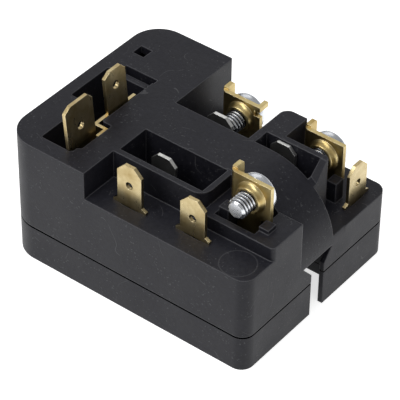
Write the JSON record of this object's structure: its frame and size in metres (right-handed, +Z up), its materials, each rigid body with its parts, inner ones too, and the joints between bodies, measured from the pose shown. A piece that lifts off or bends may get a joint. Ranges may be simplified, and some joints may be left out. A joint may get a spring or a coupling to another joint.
{
  "type": "compressor start relay",
  "caption": "Black moulded start relay for a refrigerator compressor, with brass push-on tabs, screw terminals, wells for tinned contacts and pin sockets underneath.",
  "frame": {"origin": "middle of the flat underside", "axes": "+X along the length to the slotted end, +Y from the ledge with two tabs to the back, +Z up"},
  "size_m": [0.064, 0.0502, 0.0412],
  "materials": {
    "moulding": "satin black moulded plastic",
    "brass": "rolled sheet brass",
    "tinned_brass": "brass sheet plated with dull tin",
    "zinc_steel": "bright zinc plated steel",
    "spring_steel": "plain spring steel",
    "ceramic": "dark fired ceramic with dull metal faces"
  },
  "bodies": {
    "root": {"base_housing": "moulding", "ceramic_disc": "ceramic", "common_pin_contact": "tinned_brass", "common_strip": "brass", "deck_tab": "brass", "disc_spring_back": "spring_steel", "disc_spring_front": "spring_steel", "disc_strip": "brass", "front_screw_plate": "brass", "front_tab_left": "brass", "front_tab_right": "brass", "line_strip": "brass", "pocket_blade_narrow": "brass", "pocket_blade_wide": "brass", "rear_screw_plate": "brass", "run_pin_contact": "tinned_brass", "run_strip": "brass", "side_screw_plate": "brass", "start_pin_contact": "tinned_brass", "start_strip": "brass", "terminal_screws": "zinc_steel", "upper_housing": "moulding"}
  },
  "joints": []
}
